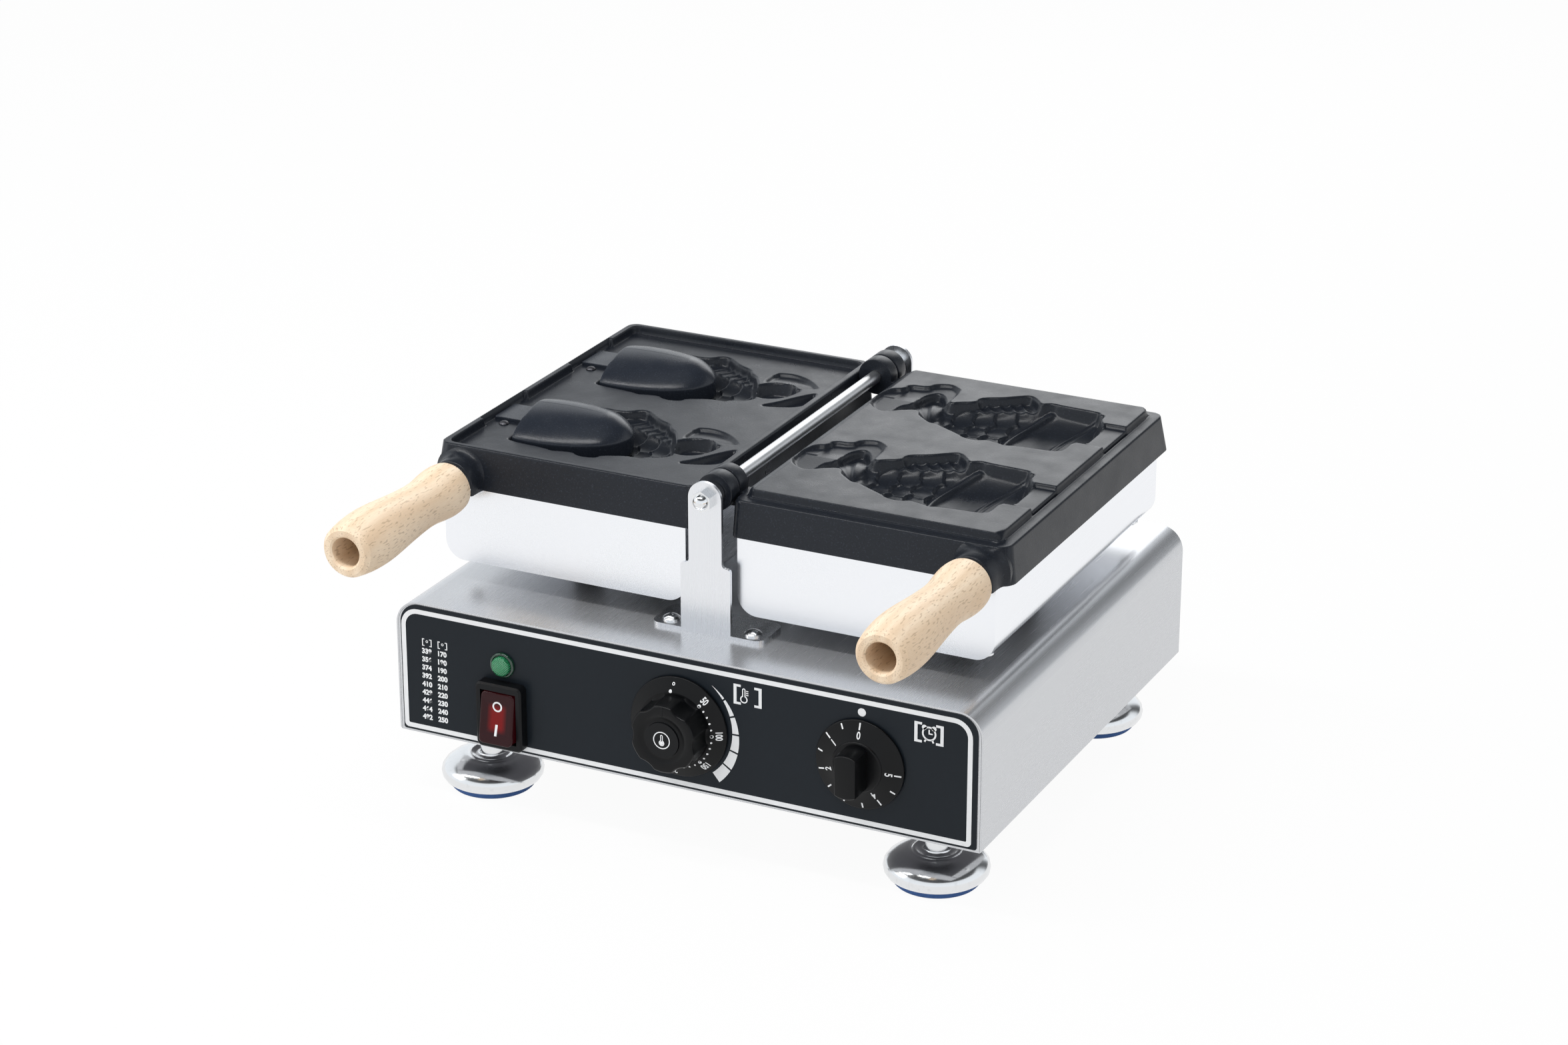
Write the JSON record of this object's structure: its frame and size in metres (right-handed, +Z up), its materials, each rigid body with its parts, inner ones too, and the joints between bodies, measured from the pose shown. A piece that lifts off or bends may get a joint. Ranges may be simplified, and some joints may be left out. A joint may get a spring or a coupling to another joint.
{
  "type": "taiyaki maker",
  "caption": "Countertop fish-shaped waffle iron: hinged cast mould halves over a stainless base with thermostat, timer, rocker switch, wooden handles and levelling feet.",
  "frame": {"origin": "on the floor, under the middle of the machine's bounding box", "axes": "+X to the right as the cook sees it, +Y to the back, +Z up"},
  "size_m": [0.335, 0.3606, 0.1957],
  "materials": {
    "stainless_sheet": "fine brushed stainless sheet",
    "bracket_steel": "satin stainless, bright edges",
    "pan_steel": "satin stainless sheet",
    "bright_fastener": "bright nickel",
    "heater_steel": "heat-tinted steel",
    "panel_label": "printed overlay, satin",
    "mould_coating": "cast, fine-textured non-stick coat",
    "core_coating": "cast, glossier non-stick coat",
    "beech_wood": "bare sanded beech",
    "black_plastic": "moulded black",
    "knob_plastic": "satin phenolic",
    "knob_cap": "gloss insert",
    "green_lens": "faceted translucent green",
    "red_rocker": "translucent dark red",
    "inner_metal": "zinc-plated",
    "black_rubber": "moulded rubber",
    "blue_rubber": "blue non-slip rubber",
    "foot_chrome": "polished"
  },
  "bodies": {
    "base": {"housing_cover": "stainless_sheet", "front_plate": "stainless_sheet", "rear_plate": "stainless_sheet", "bottom_plate": "stainless_sheet", "front_bracket": "bracket_steel", "rear_bracket": "bracket_steel", "bottom_screws": "bright_fastener", "bracket_screws": "bright_fastener", "cap_nuts": "bright_fastener", "hinge_washers": "bright_fastener", "hinge_spacers": "bright_fastener", "hinge_rod": "bright_fastener", "foot_nuts": "bright_fastener", "control_label": "panel_label", "lamp_bezel": "black_plastic", "switch_housing": "black_plastic", "terminal_block": "black_plastic", "cord_gland": "black_plastic", "lamp_lens": "green_lens", "thermostat": "inner_metal", "timer_motor": "inner_metal", "rest_bumpers": "black_rubber"},
    "left_half": {"left_mould": "mould_coating", "front_mouth_core": "core_coating", "rear_mouth_core": "core_coating", "core_screws": "bright_fastener", "left_pan": "pan_steel", "left_pan_screws": "bright_fastener", "left_heater": "heater_steel", "left_heater_straps": "heater_steel", "left_handle": "beech_wood", "left_handle_washer": "bright_fastener", "left_handle_bolt": "bright_fastener"},
    "right_half": {"right_mould": "mould_coating", "right_pan": "pan_steel", "right_pan_screws": "bright_fastener", "right_heater": "heater_steel", "right_heater_straps": "heater_steel", "right_handle": "beech_wood", "right_handle_washer": "bright_fastener", "right_handle_bolt": "bright_fastener"},
    "temperature_dial": {"temperature_knob": "knob_plastic", "temperature_cap": "knob_cap", "temperature_spindle": "bright_fastener"},
    "timer_dial": {"timer_knob": "knob_plastic", "timer_spindle": "bright_fastener"},
    "power_rocker": {"switch_rocker": "red_rocker"},
    "front_left_foot": {"front_left_foot_pad": "blue_rubber", "front_left_foot_bell": "foot_chrome", "front_left_foot_stud": "bright_fastener"},
    "rear_left_foot": {"rear_left_foot_pad": "blue_rubber", "rear_left_foot_bell": "foot_chrome", "rear_left_foot_stud": "bright_fastener"},
    "front_right_foot": {"front_right_foot_pad": "blue_rubber", "front_right_foot_bell": "foot_chrome", "front_right_foot_stud": "bright_fastener"},
    "rear_right_foot": {"rear_right_foot_pad": "blue_rubber", "rear_right_foot_bell": "foot_chrome", "rear_right_foot_stud": "bright_fastener"}
  },
  "joints": [
    {"name": "left_half_hinge", "type": "hinge", "parent": "base", "child": "left_half", "pos_m": [0, 0.04305, 0.1857], "axis": [0, 1, 0], "range_deg": [0, 180]},
    {"name": "right_half_hinge", "type": "hinge", "parent": "base", "child": "right_half", "pos_m": [0, 0.04305, 0.1857], "axis": [0, -1, 0], "range_deg": [0, 180]},
    {"name": "temperature_turn", "type": "hinge", "parent": "base", "child": "temperature_dial", "pos_m": [0, -0.10225, 0.0725], "axis": [0, -1, 0], "range_deg": [0, 270]},
    {"name": "timer_turn", "type": "hinge", "parent": "base", "child": "timer_dial", "pos_m": [0.1017, -0.10225, 0.0725], "axis": [0, 1, 0], "range_deg": [0, 270]},
    {"name": "power_rock", "type": "hinge", "parent": "base", "child": "power_rocker", "pos_m": [-0.1035, -0.10565, 0.05835], "axis": [1, 0, 0], "range_deg": [0, 20]},
    {"name": "front_left_foot_level", "type": "hinge", "parent": "base", "child": "front_left_foot", "pos_m": [-0.13, -0.07125, 0.02], "axis": [0, 0, 1], "continuous": true},
    {"name": "rear_left_foot_level", "type": "hinge", "parent": "base", "child": "rear_left_foot", "pos_m": [-0.13, 0.14025, 0.02], "axis": [0, 0, 1], "continuous": true},
    {"name": "front_right_foot_level", "type": "hinge", "parent": "base", "child": "front_right_foot", "pos_m": [0.13, -0.07125, 0.02], "axis": [0, 0, 1], "continuous": true},
    {"name": "rear_right_foot_level", "type": "hinge", "parent": "base", "child": "rear_right_foot", "pos_m": [0.13, 0.14025, 0.02], "axis": [0, 0, 1], "continuous": true}
  ]
}
